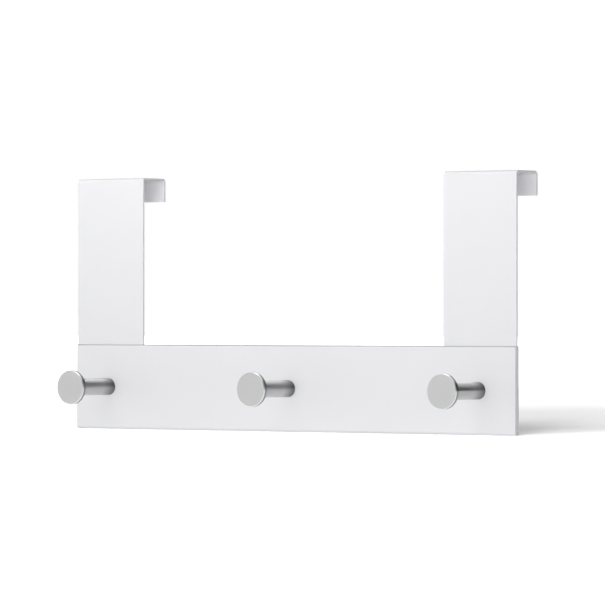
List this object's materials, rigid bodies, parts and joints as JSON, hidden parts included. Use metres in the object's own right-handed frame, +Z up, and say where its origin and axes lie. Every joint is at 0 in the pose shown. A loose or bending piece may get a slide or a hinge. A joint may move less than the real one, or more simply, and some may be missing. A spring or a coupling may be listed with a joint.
{
  "type": "over door hook",
  "caption": "White over-door hanger: a folded steel rail on wide straps that bend over the top of the door, with turned metal pegs with flat disc heads.",
  "frame": {"origin": "front edge of the door's top, midway between the straps: the rail's back lies on Y = 0 and the straps rest on the door at Z = 0", "axes": "+Z up, +Y from the pegs towards the door, +X along the rail to the right as seen by someone who faces the pegs"},
  "size_m": [0.35, 0.067, 0.166],
  "materials": {
    "white_coating": "satin",
    "peg_metal": "satin",
    "screw_metal": "satin"
  },
  "bodies": {
    "root": {"rail": "white_coating", "left_strap": "white_coating", "right_strap": "white_coating", "left_peg": "peg_metal", "middle_peg": "peg_metal", "right_peg": "peg_metal", "left_screw": "screw_metal", "middle_screw": "screw_metal", "right_screw": "screw_metal"}
  },
  "joints": []
}
